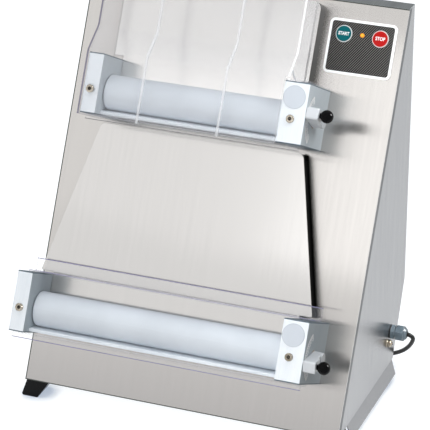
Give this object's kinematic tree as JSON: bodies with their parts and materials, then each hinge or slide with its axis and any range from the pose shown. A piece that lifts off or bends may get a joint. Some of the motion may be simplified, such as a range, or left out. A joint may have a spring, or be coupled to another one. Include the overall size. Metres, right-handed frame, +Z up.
{
  "type": "pizza dough roller",
  "caption": "Leaning countertop dough roller with stacked roller pairs, gap levers, a slanting chute and a clear hopper guard.",
  "frame": {"origin": "centre of the casing and its guards at the height of the floor, without the mains lead", "axes": "+X to the right across the rollers, +Y to the back of the machine, +Z up"},
  "size_m": [0.5667, 0.4621, 0.6534],
  "materials": {
    "brushed_panel": "vertical brushed grain",
    "side_panel": "satin",
    "galvanised": "dull zinc",
    "screw_steel": "polished nickel",
    "foot_rubber": "smooth",
    "dough_plate": "fine satin",
    "black_plastic": "matte",
    "white_plastic": "matte",
    "clear_guard": "clear polycarbonate",
    "clear_rib": "frosted polycarbonate",
    "bush_bronze": "machined",
    "cap_grey": "satin",
    "motor_paint": "semi-gloss",
    "cast_housing": "cast",
    "shaft_steel": "turned",
    "pulley_aluminium": "turned",
    "belt_rubber": "ribbed",
    "bracket_steel": "satin",
    "roller_plastic": "smooth food-grade plastic",
    "lever_plastic": "smooth",
    "knob_black": "polished",
    "pad_film": "printed film",
    "start_teal": "satin",
    "stop_red": "satin",
    "lamp_amber": "translucent",
    "gland_plastic": "moulded nylon",
    "earth_brass": "nickel-plated",
    "cord_rubber": "smooth sheath"
  },
  "bodies": {
    "root": {"front_panel": "brushed_panel", "left_side_panel": "side_panel", "right_side_panel": "side_panel", "top_cover": "side_panel", "rear_cover": "side_panel", "base_pan": "galvanised", "casing_screws": "screw_steel", "feet": "foot_rubber", "upper_slide": "dough_plate", "lower_chute": "dough_plate", "chute_spacers": "black_plastic", "upper_guard": "clear_guard", "upper_guard_ribs": "clear_rib", "upper_bottom_guard": "clear_guard", "lower_top_guard": "clear_guard", "lower_bottom_guard": "clear_guard", "front_scrapers": "white_plastic", "rear_scrapers": "white_plastic", "shaft_bushes": "bush_bronze", "bracket_screws": "screw_steel", "cap_discs": "cap_grey", "motor": "motor_paint", "gearbox": "cast_housing", "tensioner_bracket": "galvanised", "control_pad": "pad_film", "lamp": "lamp_amber", "control_box": "black_plastic", "cable_gland": "gland_plastic", "gland_nut": "gland_plastic", "earth_terminal": "earth_brass", "mains_cord": "cord_rubber", "mains_cord_coil": "cord_rubber", "mains_plug": "cord_rubber", "upper_left_bracket": "bracket_steel", "upper_right_bracket": "bracket_steel", "upper_drive_belt": "belt_rubber", "lower_left_bracket": "bracket_steel", "lower_right_bracket": "bracket_steel", "lower_drive_belt": "belt_rubber"},
    "upper_lever": {"upper_eccentric_axle": "shaft_steel", "upper_lever": "lever_plastic"},
    "upper_knob": {"upper_lever_knob": "knob_black"},
    "upper_front_roller": {"upper_front_roller": "roller_plastic", "upper_roller_bushes": "white_plastic"},
    "upper_rear_roller": {"upper_rear_roller": "roller_plastic", "upper_rear_shaft": "shaft_steel", "upper_driven_pulley": "pulley_aluminium"},
    "lower_lever": {"lower_eccentric_axle": "shaft_steel", "lower_lever": "lever_plastic"},
    "lower_knob": {"lower_lever_knob": "knob_black"},
    "lower_front_roller": {"lower_front_roller": "roller_plastic", "lower_roller_bushes": "white_plastic"},
    "lower_rear_roller": {"lower_rear_roller": "roller_plastic", "lower_rear_shaft": "shaft_steel", "lower_driven_pulley": "pulley_aluminium"},
    "drive_shaft": {"drive_shaft": "shaft_steel", "drive_pulleys": "pulley_aluminium"},
    "tensioner": {"tensioner_wheel": "black_plastic"},
    "start_button": {"start_button": "start_teal"},
    "stop_button": {"stop_button": "stop_red"}
  },
  "joints": [
    {"name": "upper_lever_turn", "type": "hinge", "parent": "root", "child": "upper_lever", "pos_m": [0.166, 0.02641, 0.47509], "axis": [-1, 0, 0], "range_deg": [-60, 30]},
    {"name": "upper_knob_pull", "type": "slide", "parent": "upper_lever", "child": "upper_knob", "axis": [1, 0, 0], "range_m": [0, 0.006], "stiffness_N_per_m": 600, "springref_m": -0.004},
    {"name": "upper_front_roller_spin", "type": "hinge", "parent": "upper_lever", "child": "upper_front_roller", "pos_m": [0, 0.02483, 0.47315], "axis": [1, 0, 0], "continuous": true},
    {"name": "upper_rear_roller_spin", "type": "hinge", "parent": "root", "child": "upper_rear_roller", "pos_m": [0, 0.07614, 0.44672], "axis": [1, 0, 0], "continuous": true},
    {"name": "lower_lever_turn", "type": "hinge", "parent": "root", "child": "lower_lever", "pos_m": [0.2255, -0.1328, 0.16531], "axis": [-1, 0, 0], "range_deg": [-30, 60]},
    {"name": "lower_knob_pull", "type": "slide", "parent": "lower_lever", "child": "lower_knob", "axis": [1, 0, 0], "range_m": [0, 0.006], "stiffness_N_per_m": 600, "springref_m": -0.004},
    {"name": "lower_front_roller_spin", "type": "hinge", "parent": "lower_lever", "child": "lower_front_roller", "pos_m": [0, -0.1332, 0.16284], "axis": [1, 0, 0], "continuous": true},
    {"name": "lower_rear_roller_spin", "type": "hinge", "parent": "root", "child": "lower_rear_roller", "pos_m": [0, -0.08306, 0.13694], "axis": [1, 0, 0], "continuous": true},
    {"name": "drive_shaft_spin", "type": "hinge", "parent": "root", "child": "drive_shaft", "pos_m": [-0.2, 0.06581, 0.104], "axis": [1, 0, 0], "continuous": true},
    {"name": "tensioner_spin", "type": "hinge", "parent": "root", "child": "tensioner", "pos_m": [-0.1905, 0.07634, 0.40446], "axis": [1, 0, 0], "continuous": true},
    {"name": "start_press", "type": "slide", "parent": "root", "child": "start_button", "axis": [0, 0.8894, -0.4571], "range_m": [0, 0.0008], "stiffness_N_per_m": 400, "springref_m": -0.002},
    {"name": "stop_press", "type": "slide", "parent": "root", "child": "stop_button", "axis": [0, 0.8894, -0.4571], "range_m": [0, 0.0008], "stiffness_N_per_m": 400, "springref_m": -0.002}
  ],
  "couplings": [
    {"joint": "upper_rear_roller_spin", "follows": "lower_rear_roller_spin", "ratio": 1},
    {"joint": "drive_shaft_spin", "follows": "lower_rear_roller_spin", "ratio": 1.179},
    {"joint": "tensioner_spin", "follows": "lower_rear_roller_spin", "ratio": -1.8362}
  ]
}
